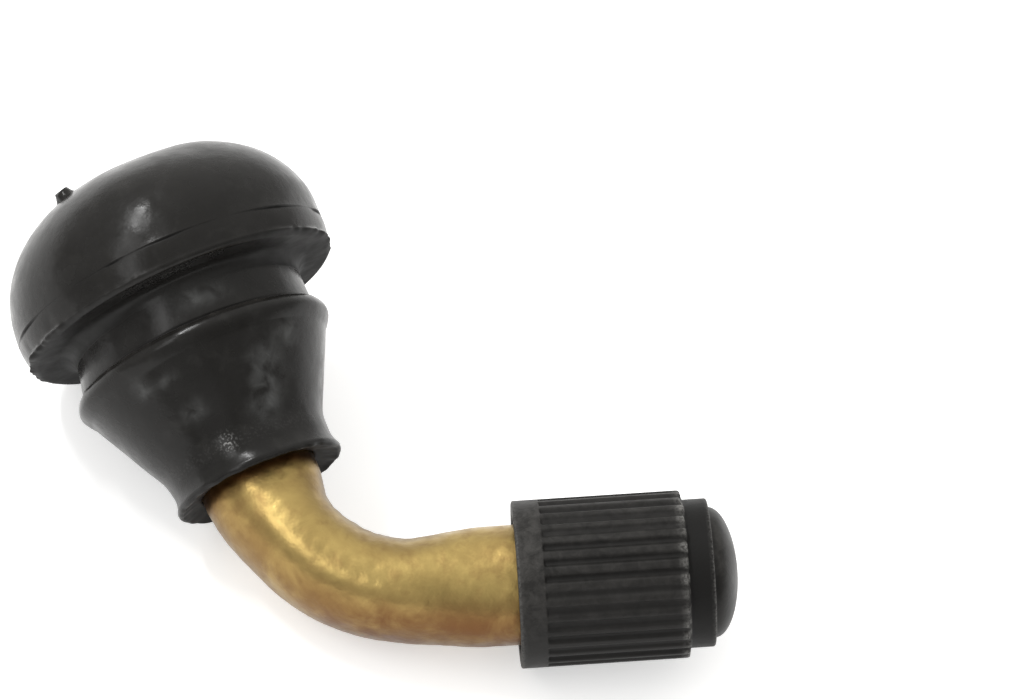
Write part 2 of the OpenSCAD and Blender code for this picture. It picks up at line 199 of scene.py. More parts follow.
def wobble(angle, seed, fewest, most):
    """Sum of cosines with fewest to most waves a turn, random in size and phase, mostly between -1 and 1."""
    draw = np.random.default_rng(seed)
    waves = np.arange(fewest, most + 1)
    size = draw.normal(size=waves.size) / np.sqrt(waves)
    phase = draw.uniform(0, TURN, waves.size)
    ring = (size[:, None] * np.cos(waves[:, None] * angle + phase[:, None])).sum(axis=0)
    return ring / (2 * ring.std())


def patches(along, angle, seed, count, slow, turns):
    """Sum of count slanted waves: up to slow radians a millimetre along and up to turns waves round."""
    draw = np.random.default_rng(seed)
    pace = draw.uniform(-slow, slow, count)
    waves = draw.integers(0, turns + 1, count)
    phase = draw.uniform(0, TURN, count)
    total = np.zeros((along.size, angle.size))
    for k in range(count):
        total += np.cos(pace[k] * along[:, None] + waves[k] * angle + phase[k])
    return total / np.sqrt(2 * count)


def arc(middle, radii, start, stop, count):
    """Points of an ellipse about the middle, from one angle in degrees to another."""
    turn = np.radians(np.linspace(start, stop, count))
    return np.stack([middle[0] + radii[0] * np.cos(turn), middle[1] + radii[1] * np.sin(turn)], axis=-1)


def line(start, stop, count):
    """Points on a straight line, both ends included."""
    return np.linspace(start, stop, count)


def joined(*parts):
    """Parts of an outline put end to end, without the points that would fall on each other."""
    chain = np.concatenate([np.asarray(part, float) for part in parts])
    step = np.linalg.norm(np.diff(chain, axis=0), axis=1)
    return chain[np.concatenate([[True], step > 1e-4])]


# %% [markdown]
# ## The rubber head
# The head is one piece of black rubber, moulded round the root of the tube. Its outline is known all round: the
# air hole in the dome, the dome, the band under it, the sealing face, the neck that fills the wheel's hole, the
# bulge that snaps behind it, a cone, and the lip where the brass comes out. Turning an outline about an axis could
# be done with a Screw modifier. A grid is used instead, because then every row can be uneven in its own way: the
# mould's parting line leaves a ragged fin, and the rubber bleeds a little at every sharp edge.

# %% Outline of the head
foot_r, dome_h, dome_power, band_h = 9.95, 7.65, 2.25, 1.6
seal_edge_r, neck_r, bulge_r, bulge_rise = 9.75, 7.3, 7.95, 0.75
shoulder_len, shoulder_drop, waist_at, waist_r = 1.55, 0.49, 6.45, 5.04
head_len, lip_r, lip_round, lip_in, lip_flare, lip_dish = 8.95, 5.3, 0.3, 0.25, 1.05, 0.45
air_hole_r, air_hole_d, air_hole_round = 3.35, 2.6, 0.4
tube_r, root_r, root_len, root_slope = 3.62, 4.7, 3.2, 0.8
edge_round, neck_round, waist_soft = 0.4, 0.8, 0.2
lip_z = groove_w + head_len
root_z = -band_h - dome_h + air_hole_d


def dome_at(r):
    """Height of the dome: a rounded square curve, like an ellipse with a power of 2.25 in place of 2."""
    return -band_h - dome_h * (1 - (r / foot_r) ** dome_power) ** (1 / dome_power)


def foot_at(z):
    """Radius of the foot at height z: the dome's curve solved for the radius."""
    return foot_r * (1 - ((-band_h - z) / dome_h) ** dome_power) ** (1 / dome_power)


def cone_at(z):
    """Radius below the bulge: a straight cone that softens into the waist, plus a square flare at the lip."""
    slope = (bulge_r - shoulder_drop - waist_r) / (waist_at - shoulder_len)
    fall = slope * (waist_at - z)
    flare = np.maximum(0, (z - head_len + lip_round) / lip_flare + 1) ** 2
    return waist_r + (fall + np.sqrt(fall ** 2 + waist_soft ** 2)) / 2 + (lip_r - waist_r) * flare


def pair(r, z):
    """Radii and heights side by side."""
    return np.stack([r + 0 * z, z + 0 * r], axis=-1)


hole_edge_r = air_hole_r + air_hole_round
hole_top = dome_at(hole_edge_r) + air_hole_round
dome_r = hole_edge_r + (foot_at(-band_h - 0.95) - hole_edge_r) * np.sin(np.linspace(0, np.pi / 2, 56))
belt_z = -band_h - np.linspace(0.9, 0, 27)
drop = np.linspace(0.06, 1, 14)
shoulder = np.linspace(0.1, 0.95, 11)
cone_z = np.linspace(shoulder_len, head_len - lip_round, 52)
zones = {
    "hole": line([air_hole_r, root_z], [air_hole_r, hole_top + 0.1], 12),
    "hole_edge": arc([hole_edge_r, hole_top], [air_hole_round] * 2, 180, 264, 8),
    "dome": pair(dome_r, dome_at(dome_r)),
    "belt": pair(foot_at(belt_z), belt_z),
    "band": pair(foot_r - (foot_r - seal_edge_r) * drop ** 1.6, -band_h + (band_h - edge_round) * drop),
    "seal_edge": arc([seal_edge_r - edge_round, -edge_round], [edge_round] * 2, 6, 90, 13),
    "seal_face": line([seal_edge_r - edge_round - 0.12, 0], [neck_r + neck_round, 0], 9),
    "neck_foot": arc([neck_r + neck_round, neck_round], [neck_round] * 2, 262, 180, 7),
    "neck": line([neck_r, neck_round + 0.12], [neck_r, groove_w - 0.32], 10),
    "crease": line([neck_r, groove_w - 0.26], [neck_r, groove_w - 0.01], 7),
    "bulge": arc([neck_r, groove_w + bulge_rise], [bulge_r - neck_r, bulge_rise], -86, 0, 15),
    "shoulder": pair(bulge_r - shoulder_drop * shoulder ** 1.5,
                     groove_w + bulge_rise + (shoulder_len - bulge_rise) * shoulder),
    "cone": pair(cone_at(cone_z), groove_w + cone_z),
    "lip": arc([lip_r - lip_in, lip_z - lip_round], [lip_in, lip_round], 20, 90, 12),
    "dish": line([lip_r - lip_in - 0.08, lip_z - 0.03], [tube_r, lip_z - lip_dish], 9),
    "bed": line([tube_r, lip_z - lip_dish - 0.2], [tube_r, root_z + root_len], 8),
    "root_bed": line([root_r, root_z + root_len - root_slope], [root_r, root_z], 5),
    "root_face": line([root_r - 0.3, root_z], [air_hole_r + 0.2, root_z], 4)}
outline = np.concatenate(list(zones.values()))
zone = np.repeat(list(zones), [len(rows) for rows in zones.values()])[:, None]
step = np.roll(outline, -1, axis=0) - np.roll(outline, 1, axis=0)
facing = np.stack([step[:, 1], -step[:, 0]], axis=-1) / np.linalg.norm(step, axis=1)[:, None]
print("outline of the head:", len(outline), "points in", len(zones), "zones")

# %% [markdown]
# The outline is carried round in 320 columns, and each point then moves a little along the outline's own normal.
# At the parting line the two halves of the mould did not quite meet, so the upper half ends in a small ragged step.
# The sealing edge, the bulge and the lip carry bits of flash, a few pleats pull at the band, and a fold runs where the
# neck meets the bulge. The whole skin is very slightly uneven, and the dome is a little fuller on the side of the
# bend. Two moulding pips stand on the dome, where the rubber was let into the mould.

# %% Fins, folds and pips of the head
head_columns = 320
seam_step, seam_cut, seal_flash, bulge_flash, lip_flash = 0.085, 0.05, 0.42, 0.05, 0.08
fold_cut, pleat_cut, uneven, side_full, front_full = 0.07, 0.09, 0.02, 0.32, 0.24
angle = np.linspace(0, TURN, head_columns, endpoint=False)
out_r, out_z = outline[:, :1], outline[:, 1:]
skin_zones = ["hole_edge", "dome", "belt", "band", "seal_edge", "seal_face", "neck_foot", "neck", "crease",
              "bulge", "shoulder", "cone", "lip", "dish"]
open_air = np.isin(zone, skin_zones)

seam_z = -band_h - 0.17
seam_size = np.clip(0.05 + 0.3 * wobble(angle, 3, 2, 60), 0, 1)
for place, wide in ((110, 4), (90, 8), (46, 11), (158, 9), (16, 5), (210, 9), (262, 12), (318, 10)):
    seam_size = np.maximum(seam_size, hump(off(angle, place), 0, np.radians(wide)))
above = np.isin(zone, ["dome", "belt", "band"]) * np.exp(-np.abs(out_z - seam_z) / 0.4) * (out_z <= seam_z)
below = np.isin(zone, ["belt", "band"]) * np.exp(-np.abs(out_z - seam_z) / 0.16) * (out_z > seam_z)
ragged = np.clip(0.5 + 0.5 * wobble(angle, 5, 6, 90), 0, 1)
seal_size = ragged * np.clip(0.1 + hump(off(angle, 165), 0, 0.5) + 0.5 * hump(off(angle, 20), 0, 0.4), 0, 1)
seal_size = seal_size * (1 - hump(off(angle, 254), 0, 0.4))
bulge_size = np.clip(0.4 + 0.5 * wobble(angle, 7, 2, 50), 0.1, 1)
lip_size = np.clip(0.2 + 0.6 * wobble(angle, 9, 2, 40), -0.4, 1)
fold_size = np.clip(0.4 + 0.25 * wobble(angle, 11, 2, 24) + 0.6 * hump(off(angle, 82), 0, 0.6), 0.1, 1)
seal_fin = np.isin(zone, ["seal_edge", "band"]) * hump(out_z, -0.3, 0.14)
bulge_fin = np.isin(zone, ["bulge"]) * hump(out_z, groove_w + 0.12, 0.12)
lip_fin = np.isin(zone, ["lip", "dish"]) * hump(out_z, lip_z, 0.16)
fold = np.isin(zone, ["crease", "bulge"]) * hump(out_z, groove_w, 0.08)
pleats = np.isin(zone, ["band", "belt"]) * hump(out_z, -0.8, 0.55)
rise = seam_step * above * seam_size - seam_cut * below * seam_size
rise = rise + seal_flash * seal_fin * seal_size + bulge_flash * bulge_fin * bulge_size
rise = rise + lip_flash * lip_fin * lip_size - fold_cut * fold * fold_size
rise = rise - pleat_cut * pleats * np.clip(wobble(angle, 13, 14, 60), 0, 1) * hump(off(angle, 156), 0, 0.2)

length = np.concatenate([[0], np.cumsum(np.linalg.norm(np.diff(outline, axis=0), axis=1))])
broad = 0.6 * patches(length, angle, 17, 40, 1.0, 8) + 0.25 * patches(length, angle, 19, 40, 3.5, 24)
rise = rise - uneven * open_air * np.clip(1 + broad, 0.1, 2)
side = ease((0.85 - np.abs(off(angle, 12))) / 0.7)
swell = side_full * hump(out_r, 8.4, 2.2) * side
swell = swell + front_full * hump(out_r, 6.0, 1.6) * hump(off(angle, 42), 0, 0.45)
rise = rise + np.isin(zone, ["dome", "belt"]) * swell * ease((seam_z - 0.1 - out_z) / 2)
pip_at, pip_r, pip_h = 5.2, 0.48, 0.55
for turn in (139, 319):
    across = np.sqrt((out_r - pip_at) ** 2 + 4 * out_r * pip_at * np.sin(off(angle, turn) / 2) ** 2)
    blunt = ease((1.2 - across / pip_r) / 0.4) * (0.93 + 0.07 * wobble(angle, 21, 8, 60))
    rise = rise + pip_h * 0.98 * blunt * (zone == "dome")
rise = rise * open_air
print("flash and pips: from", round(rise.min(), 2), "to", round(rise.max(), 2), "mm")

# %% [markdown]
# The neck, the bulge and the cone are a little fuller on the side away from the bend, so their radius grows there by
# up to a third of a millimetre. Then the grid becomes the head's skin. Where an edge is thin the rubber turns pale,
# and chalky wax lies in patches. Painted shade darkens the step of the parting line, the fold, both ends of the
# sealing face and the dish inside the lip. A little painted light makes the middle of the shaded sealing face paler,
# and painted glints sit on one spot near the lip. All four are kept as marks, which the finish reads further down.

# %% Skin of the head
outer_full = 0.32
leaning = np.isin(zone, ["neck", "crease", "bulge", "shoulder", "cone"]) * ease((out_z - 0.8) / 2)
leaning = outer_full * leaning * ease((lip_z - 0.6 - out_z) / 3) * np.clip(-np.cos(angle), 0, 1) ** 1.5
ring_r = out_r + rise * facing[:, :1] + leaning
ring_z = out_z + rise * facing[:, 1:]
points = np.stack([ring_r * np.cos(angle), ring_r * np.sin(angle), ring_z], axis=-1)
pale = np.clip(0.3 * seal_fin * seal_size + 0.7 * bulge_fin * bulge_size + 0.35 * lip_fin * lip_size, 0, 1)
# Painted shade: dark along the step of the parting line, in the fold, at both ends of the sealing face and in the dish
# and rim inside the lip.
painted_shade = np.isin(zone, ["belt", "band"]) * hump(out_z, seam_z + 0.06, 0.07) * seam_size + fold * fold_size
painted_shade = painted_shade + 0.8 * np.isin(zone, ["seal_face", "seal_edge", "neck_foot"]) * (1 - hump(off(angle, 95), 0, 0.85))
painted_shade = painted_shade + 0.75 * (zone == "dish") + 0.5 * (zone == "lip") * ease((out_z - lip_z + 0.2) / 0.2)
wax_and_painted_light = 0 * pale
chalk_spots = ((5.15, 129, 0.5, 0.6), (5.4, 116, 0.4, 0.5), (6.9, 64, 1.3, 1.2), (5.2, 48, 0.7, 1.0),
               (7.5, 112, 0.5, 0.7), (-3.2, 101, 0.4, 0.4), (1.6, 84, 0.6, 1.4), (8.6, 70, 0.9, 0.8),
               (6.2, 250, 1.2, 1.5), (-4.5, 290, 1.4, 1.6), (7.8, 330, 1.0, 1.2))
for height, turn, tall, wide in chalk_spots:
    wax_and_painted_light = wax_and_painted_light + open_air * hump(out_z, height, tall) * hump(out_r * off(angle, turn), 0, wide)
# Painted light: the middle of the sealing face, which lies in shade, is made paler.
wax_and_painted_light = wax_and_painted_light + 0.25 * (zone == "seal_face") * hump(off(angle, 95), 0, 0.85)
# Painted glints: pale specks on one spot near the lip stand for a highlight.
painted_glints = np.isin(zone, ["cone", "lip"]) * hump(out_z, 9.9, 0.5)
painted_glints = painted_glints * np.clip(0.05 + hump(off(angle, 103), 0, 0.075), 0, 1)
rubber_head = skin("rubber_head", points, marks={"pale_edge": pale, "painted_shade": np.clip(painted_shade, 0, 1),
                                                 "wax_and_painted_light": np.clip(wax_and_painted_light, 0, 1), "painted_glints": painted_glints})

# %% [markdown]
# ## The brass stem
# The stem is a thick brass tube that was bent cold round a former. Its centre line runs straight up the head,
# turns through an arc and runs straight again to the tip. Bending squeezed the tube: it is narrower in the plane of
# the bend and wider across it. A curve with a bevel could follow such a line, but its section would stay round.
# Here every row is an ellipse whose two halves follow from the length along the centre line, so that the flattening
# comes and goes softly as it does in the metal.

# %% Centre line and section of the tube
bend_half_w, bend_half_h, lead, bend_r, tip_len = 3.08, 4.03, 0.95, 9.5, 15.2
skin_gap, wall, flat_after, flat_in, flat_out = 0.02, 0.95, 4.0, 0.3, 0.15
bend_z = lip_z + lead
arc_len = bend_r * bend_turn


def centre_line(u):
    """Point and turn of the centre line at length u from the start of the bend: line, arc, line."""
    turn = np.clip(u / arc_len, 0, 1) * bend_turn
    before, after = np.minimum(u, 0), np.maximum(u - arc_len, 0)
    x = bend_r * (1 - np.cos(turn)) + after * np.sin(bend_turn)
    z = bend_z + before + bend_r * np.sin(turn) + after * np.cos(bend_turn)
    return np.stack([x, 0 * x, z], axis=-1), turn


def flatness(u):
    """How flat the tube is squeezed: a soft step up from the lip, times a soft step down past the bend."""
    into = ease((u + lead) / (lead + flat_in * arc_len))
    return into * ease((arc_len + flat_after - u) / (flat_after + flat_out * arc_len))


def tube_rows(u, half_w, half_h, angle):
    """Rings about the centre line: half_w in the plane of the bend times cosine, half_h across it times sine."""
    middle, turn = centre_line(u)
    inward = np.stack([np.cos(turn), 0 * turn, -np.sin(turn)], axis=-1)
    sideways = np.array([0.0, 1.0, 0.0])
    return (middle[:, None] + (half_w * np.cos(angle))[..., None] * inward[:, None]
            + (half_h * np.sin(angle))[..., None] * sideways)


print("bend: arc of", round(arc_len, 2), "mm, flattest", round(float(flatness(np.array([arc_len / 2]))[0]), 2))

# %% [markdown]
# The tube's skin goes all the way round in one grid: from the root in the rubber out over the bend, over the thread
# and the end face, into the mouth, back down the bore and round the root's face to where it started. The thread is a
# real helix: the radius at height z and angle a depends on how far z lies from the nearest turn, and a turn rises one
# pitch in one round. The valve thread has 32 turns to the inch.

# %% Rows of the tube
pitch, thread_from, thread_r, thread_cut, thread_end = 0.79375, 6.2, 3.82, 0.36, 0.5
mouth_r, mouth_edge, bore_r, seat_z, seat_len = 2.62, 0.35, 2.1, 8.4, 1.2
fine_pitch, fine_cut, tube_columns, bare_step = 0.705, 0.2, 160, 0.1
around = np.linspace(0, TURN, tube_columns, endpoint=False)


def helix(z, angle, pitch):
    """Depth of a thread from 0 at its crest to 1 at its root: a rounded zigzag of z less the rise of the turn."""
    phase = np.mod(z[:, None] / pitch - angle / TURN, 1)
    return ease(1.25 * (1 - np.abs(2 * phase - 1)) - 0.1)


root_u = np.array([root_z, root_z + root_len - root_slope, root_z + root_len, lip_z - 1.4]) - bend_z
root_half = np.array([root_r, root_r, tube_r, tube_r]) - 0.01
bare_u = np.arange(lip_z - 1.2 - bend_z, arc_len + thread_from, bare_step)
bare_w = tube_r - skin_gap + (bend_half_w - tube_r) * flatness(bare_u)
bare_h = tube_r - skin_gap + (bend_half_h - tube_r) * flatness(bare_u)

cut_z = np.arange(thread_from, tip_len - thread_end, pitch / 13)
fade = ease((cut_z - thread_from) / 0.5)[:, None]
crest = tube_r + (thread_r - tube_r) * fade
chamfer = 0.2 * thread_end * ease((cut_z - tip_len + 2 * thread_end) / thread_end)[:, None]
run_in = ease((cut_z - thread_from - 0.2) / 0.8)[:, None]
cut_r = crest - chamfer - thread_cut * helix(cut_z, around, pitch) * run_in

face = joined(arc([thread_r - 0.6, tip_len - 0.5], [0.4, 0.5], 20, 90, 7),
              line([thread_r - 0.7, tip_len], [mouth_r + mouth_edge, tip_len], 4),
              line([mouth_r + 0.2, tip_len - 0.2], [mouth_r, tip_len - mouth_edge], 3))
fine_z = np.arange(tip_len - mouth_edge - 0.1, seat_z + seat_len, -fine_pitch / 10)
fine_in = ease((tip_len - mouth_edge - fine_z) / 0.4)[:, None]
fine_r = mouth_r + fine_cut * helix(fine_z, around, fine_pitch) * fine_in
seat = line([mouth_r, seat_z + seat_len], [bore_r, seat_z], 5)
print("tube rows:", len(bare_u), "bare,", len(cut_z), "threaded,", len(fine_z), "in the mouth")

# %% [markdown]
# The bare brass was gripped while it was bent and screwed. Shallow scuffs near the cap show where the tool held it,
# the former left soft flats along the bend, and the inside of the bend is faintly pleated. These are dents of a few
# hundredths of a millimetre: too small for the outline, but enough to break up the reflections as on the real metal.

# %% Dents in the bare brass
wave_deep, ripple_deep, scuff_deep, crimp_deep, sunk, highest = 0.02, 0.009, 0.13, 0.02, 0.02, 0.045
waves = patches(bare_u, around, 23, 60, 2.6, 6)
ripples = patches(bare_u, around, 29, 60, 8.0, 15)
dents = wave_deep * waves + ripple_deep * ripples
past_bend = bare_u[:, None] - arc_len
scuffs = np.clip(patches(bare_u, around, 31, 70, 6.5, 20) - 0.45, 0, 0.7)
grip_spots = ((3.4, 86, 0.3), (4.3, 142, 0.35), (2.2, 110, 0.3), (3.6, 255, 0.4), (4.2, 320, 0.4))
grip = sum(hump(past_bend, at, 0.9) * hump(off(around, turn), 0, wide) for at, turn, wide in grip_spots)
dents = dents - scuff_deep * scuffs * (0.06 + np.clip(grip, 0, 1))
inner = np.clip(np.cos(around), 0, 1) ** 4 * hump(bare_u[:, None], arc_len * 0.45, 4.2)
dents = dents - crimp_deep * inner * (1 + np.sin(bare_u * 4.2 + 0.8 * np.sin(bare_u * 1.7)))[:, None]
dents = np.minimum(dents, highest) - sunk
print("deepest dent:", round(-dents.min(), 3), "mm")

# %% Grid of the stem
bore_u = np.arange(arc_len + 0.4, -0.9, -0.4)
into_bend = ease((arc_len + 0.5 - bore_u) / 1.5)
bore_w = bore_r + (tube_r - wall - bore_r + (bend_half_w - tube_r) * flatness(bore_u)) * into_bend
bore_h = bore_r + (tube_r - wall - bore_r + (bend_half_h - tube_r) * flatness(bore_u)) * into_bend
back_u = np.linspace(-1.2, root_z - bend_z, 8)
back_half = np.full((len(back_u), 1), tube_r - wall)
rim_half = np.array([[3.0], [3.6], [4.2]])
round_rows = [(root_u, root_half[:, None], root_half[:, None]),
              (bare_u, bare_w[:, None] + dents, bare_h[:, None] + dents),
              (arc_len + cut_z, cut_r, cut_r),
              (arc_len + face[:, 1], face[:, :1], face[:, :1]),
              (arc_len + fine_z, fine_r, fine_r),
              (arc_len + seat[:, 1], seat[:, :1], seat[:, :1]),
              (bore_u, bore_w[:, None], bore_h[:, None]),
              (back_u, back_half, back_half),
              (np.full(len(rim_half), root_z - bend_z), rim_half, rim_half)]
points = np.concatenate([tube_rows(u, w, h, around) for u, w, h in round_rows])
along = np.concatenate([rows[0] for rows in round_rows])[:, None] + 0 * around

# %% [markdown]
# Four marks go with the stem: a painted shadow at the lip, painted shade along the inside of the bend, brown tarnish
# with painted shade along the outside of it, and the film on the root. They count the length along the tube, so they
# follow the bend.

# %% Marks of the stem
row = np.arange(len(along))[:, None]
bare_end = len(root_u) + len(bare_u)
seen = (row >= len(root_u)) & (row < bare_end)
from_lip = along - lip_z + bend_z
# Painted shadow of the rubber lip on the brass.
lip_shadow_paint = hump(from_lip, -0.15, 0.5) * seen
# Painted shade along the inside of the bend.
shaded = np.clip(np.cos(around), 0, 1) ** 2 * ease((along + 1.5) / 2) * ease((arc_len + 5 - along) / 7) * seen
# Brown tarnish with painted shade along the outside of the bend.
outer_tarnish_shade = ease((-np.cos(around) - 0.2) / 0.65) * (0.62 + 0.38 * ease((along - 3) / 6)) * seen
film = 1.0 * (along < lip_z - bend_z - 3)
brass_stem = skin("bent_stem", points, marks={"painted_lip_shadow": lip_shadow_paint, "painted_inner_shade": shaded, "outer_tarnish_and_shade": outer_tarnish_shade,
                                              "film": film})

# %% [markdown]
# ## The screw cap
# The cap is black plastic. From its open end it has a plain skirt, a long fluted grip, a narrower collar and a domed
# crown. The flutes are grooves with flat ribs between them, which start square behind the skirt and break off
# raggedly at the collar, where the mould's ejector pulled. A cylinder with cut slots would need boolean cuts.
# As a grid, the flutes are just a radius that depends on the angle, and the grip's end can be ragged rib by rib.

# %% Flutes of the grip
cap_from, cap_r, skirt_len, flutes, flute_cut = 5.5, 4.995, 1.55, 32, 0.25
collar_r, collar_from, crown_from, crown_r, crown_h = 4.42, 10.1, 11.6, 3.9, 1.595
cap_seat, recess_r, skirt_bore, skirt_gap, thread_gap, nut_cut = 10.4, 2.3, 1.2, 0.33, 0.06, 0.24
skirt_hole, thread_hole = thread_r + skirt_gap, thread_r + thread_gap
flute_columns = 14
wheel = np.linspace(0, TURN, flutes * flute_columns, endpoint=False)
draw = np.random.default_rng(41)
rib_no = np.floor(wheel / TURN * flutes).astype(int) % flutes
flute_no = np.round(wheel / TURN * flutes).astype(int) % flutes
off_flute = np.abs(wheel / TURN * flutes - np.round(wheel / TURN * flutes))
flute_width = 0.25 + 0.03 * draw.normal(size=flutes).clip(-1.5, 1.5)
flute_deep = 1 - 0.45 * draw.uniform(size=flutes)
groove = ease((flute_width[flute_no] + 0.12 - off_flute) / 0.26) * flute_deep[flute_no]
rib_end = 0.16 * draw.uniform(-1, 0.2, flutes)[rib_no] * (1 - groove)
print("grip:", flutes, "flutes, each", round(TURN * cap_r / flutes, 2), "mm wide with its rib")

# %% [markdown]
# The cap's rows run from the tip of the crown over the collar, the grip and the skirt, round the rim and back inside
# over the cap's own thread to the middle of its ceiling. Both ends are poles. The inner thread is cut outwards from
# the hole that the solids have, so that it never touches the stem's thread, however far the cap is turned.

# %% Outline of the cap
crown = arc([0, crown_from], [crown_r, crown_h], 88, 4, 18)
collar = joined(line([crown_r + 0.02, crown_from], [collar_r - 0.13, crown_from], 3),
                arc([collar_r - 0.14, crown_from - 0.14], [0.14, 0.14], 80, 0, 6),
                line([collar_r, crown_from - 0.3], [collar_r, collar_from + 0.14], 9),
                arc([collar_r + 0.1, collar_from + 0.1], [0.1, 0.1], 180, 260, 4))
grip_z = np.concatenate([[collar_from, collar_from - 0.03, collar_from - 0.08, collar_from - 0.16],
                         np.linspace(collar_from - 0.3, skirt_len + 0.25, 26),
                         skirt_len + np.array([0.18, 0.12, 0.06, 0.0, -0.06])])
grip_top = cap_r - np.array([0.3, 0.12, 0.05, 0.01] + [0] * (len(grip_z) - 4))
skirt = joined(line([cap_r, skirt_len - 0.15], [cap_r, 0.2], 7),
               arc([cap_r - 0.12, 0.12], [0.12, 0.12], 0, -90, 5),
               line([cap_r - 0.2, 0], [skirt_hole + 0.1, 0], 4),
               arc([skirt_hole + 0.08, 0.08], [0.08, 0.08], 270, 180, 4),
               line([skirt_hole, 0.25], [skirt_hole, skirt_bore], 5),
               line([skirt_hole - 0.1, skirt_bore + 0.1], [thread_hole, skirt_bore + 0.33], 3))
nut_z = np.arange(skirt_bore + 0.4, cap_seat - 0.25, pitch / 8)
nut_in = ease((nut_z - skirt_bore - 0.35) / 0.8)[:, None]
nut_r = thread_hole + nut_cut * (1 - helix(nut_z, wheel, pitch)) * nut_in
ceiling = joined(line([thread_hole, cap_seat - 0.1], [thread_hole, cap_seat], 2),
                 line([thread_hole - 0.3, cap_seat], [recess_r, cap_seat], 4),
                 line([recess_r, cap_seat + 0.2], [recess_r, crown_from], 5),
                 line([recess_r - 0.4, crown_from], [0.3, crown_from], 5))
print("cap rows:", len(grip_z), "on the grip,", len(nut_z), "in the thread")

# %% Grid of the cap
full = np.ones_like(wheel)
start_square = ease((grip_z - skirt_len) / 0.12)[:, None]
grip_r = grip_top[:, None] - flute_cut * groove * start_square
near_end = hump(grip_z, collar_from - 0.02, 0.2)[:, None]
rows_r = [crown[:, :1] * full, collar[:, :1] * full, grip_r, skirt[:, :1] * full, nut_r, ceiling[:, :1] * full]
rows_z = [crown[:, 1:] * full, collar[:, 1:] * full, grip_z[:, None] + rib_end * near_end,
          skirt[:, 1:] * full, nut_z[:, None] * full, ceiling[:, 1:] * full]
cap_rr, cap_zz = np.concatenate(rows_r), np.concatenate(rows_z) + cap_from
tip_x = np.array([np.cos(bend_turn), 0, -np.sin(bend_turn)])
tip_z = np.array([np.sin(bend_turn), 0, np.cos(bend_turn)])
bend_end = centre_line(np.array([arc_len]))[0][0]


def on_tip(r, z, angle):
    """Point at radius r, height z and angle about the tip's axis, which starts where the bend ends."""
    return (bend_end + z[..., None] * tip_z + (r * np.cos(angle))[..., None] * tip_x
            + (r * np.sin(angle))[..., None] * np.array([0.0, 1.0, 0.0]))


print("cap grid:", cap_rr.shape)

# %% [markdown]
# The cap's marks say where its edges are rubbed, with a painted highlight along the top edge of the collar, how deep a
# point lies in a flute, for painted shade there, which rows are the smooth crown and the narrow collar, which gets
# painted shade, and how much paler the cap is made: most on the upper side, and nearly twice as much on the skirt.

# %% Skin of the cap
grip_foot = 4.5
points = on_tip(cap_rr, cap_zz, wheel)
poles = on_tip(np.zeros(2), cap_from + np.array([crown_from + crown_h, crown_from]), np.zeros(2))
height = cap_zz - cap_from
wear_and_edge_highlight = hump(height, collar_from - 0.1, 0.3) * (1 - groove) * (cap_rr > grip_foot)
wear_and_edge_highlight = wear_and_edge_highlight * (0.3 + 0.7 * draw.uniform(size=flutes)[rib_no])
# Painted highlight: a pale ring along the top edge of the collar.
wear_and_edge_highlight = wear_and_edge_highlight + 0.4 * hump(height, crown_from - 0.03, 0.1) * hump(cap_rr, collar_r - 0.06, 0.12)
wear_and_edge_highlight = wear_and_edge_highlight + 0.25 * hump(height, 0.08, 0.12) * hump(cap_rr, cap_r - 0.03, 0.12)
on_grip = (height < collar_from) * (height > skirt_len) * (cap_rr > grip_foot)
# Painted shade: the deeper in a flute, the darker.
deep = np.clip((cap_r - cap_rr) / flute_cut, 0, 1) * on_grip
smooth = 1.0 * (cap_rr < crown_r + 0.01) * (height > crown_from - 0.01)
# Paler towards the upper side, and nearly twice as much on the skirt.
paler_upward = np.cos(off(wheel, 67)).clip(0, 1) * (1 + 0.9 * (height < skirt_len))
# Painted shade on the collar.
collar_shade = hump(cap_rr, collar_r, 0.2) * (height > collar_from) * (height < crown_from)
screw_cap = skin("fluted_cap", points, poles, {"wear_and_edge_highlight": wear_and_edge_highlight.clip(0, 1), "flute": deep, "crown": smooth,
                                               "collar": collar_shade, "paler_upward": paler_upward})

# %% [markdown]
# ## The core's spring
# Inside the tip, a coil spring pushes the core's pin shut. It is wire wound round the pin, with its ends laid flat.
# When the pin is pressed, the pin's collar shortens the coil, so the spring can't stay the rigid solid that it is at
# rest. It is wound again as a round section carried along a helix, which stays level for about a third of a turn at
# both ends.

# %% Coil of the spring
coil_r, wire_r, coil_turns, coil_len, flat_turn = 0.95, 0.16, 8, 5.4, 0.3
press = joints["pin_press"]
spring_foot = np.array(press["deforming_nodes"][0]["fixed_end_m"])
foot_z = (valve_axes @ (spring_foot / MM - valve_origin) - bend_end) @ tip_z
turn_rows, wire_columns = 24, 10
wind = np.linspace(0, coil_turns * TURN, coil_turns * turn_rows + 1)
climb = np.clip((wind / TURN - flat_turn) / (coil_turns - 2 * flat_turn), 0, 1)
wire_z = foot_z + wire_r + (coil_len - 2 * wire_r) * climb
wire = np.linspace(0, TURN, wire_columns, endpoint=False)
coil_zz = wire_z[:, None] + wire_r * np.sin(wire)
points = on_tip(coil_r + wire_r * np.cos(wire) + 0 * coil_zz, coil_zz, wind[:, None] + 0 * coil_zz)
poles = on_tip(np.full(2, coil_r), wire_z[[0, -1]], wind[[0, -1]])
core_coil = skin("core_coil", points, poles)

# %% [markdown]
# ## Finishes
# All finishes are worked out from the place on the piece, in millimetres, so a spot keeps its size on any piece. A
# small helper starts a material with that scaled place, and others add a noise or a bump, which every finish needs.

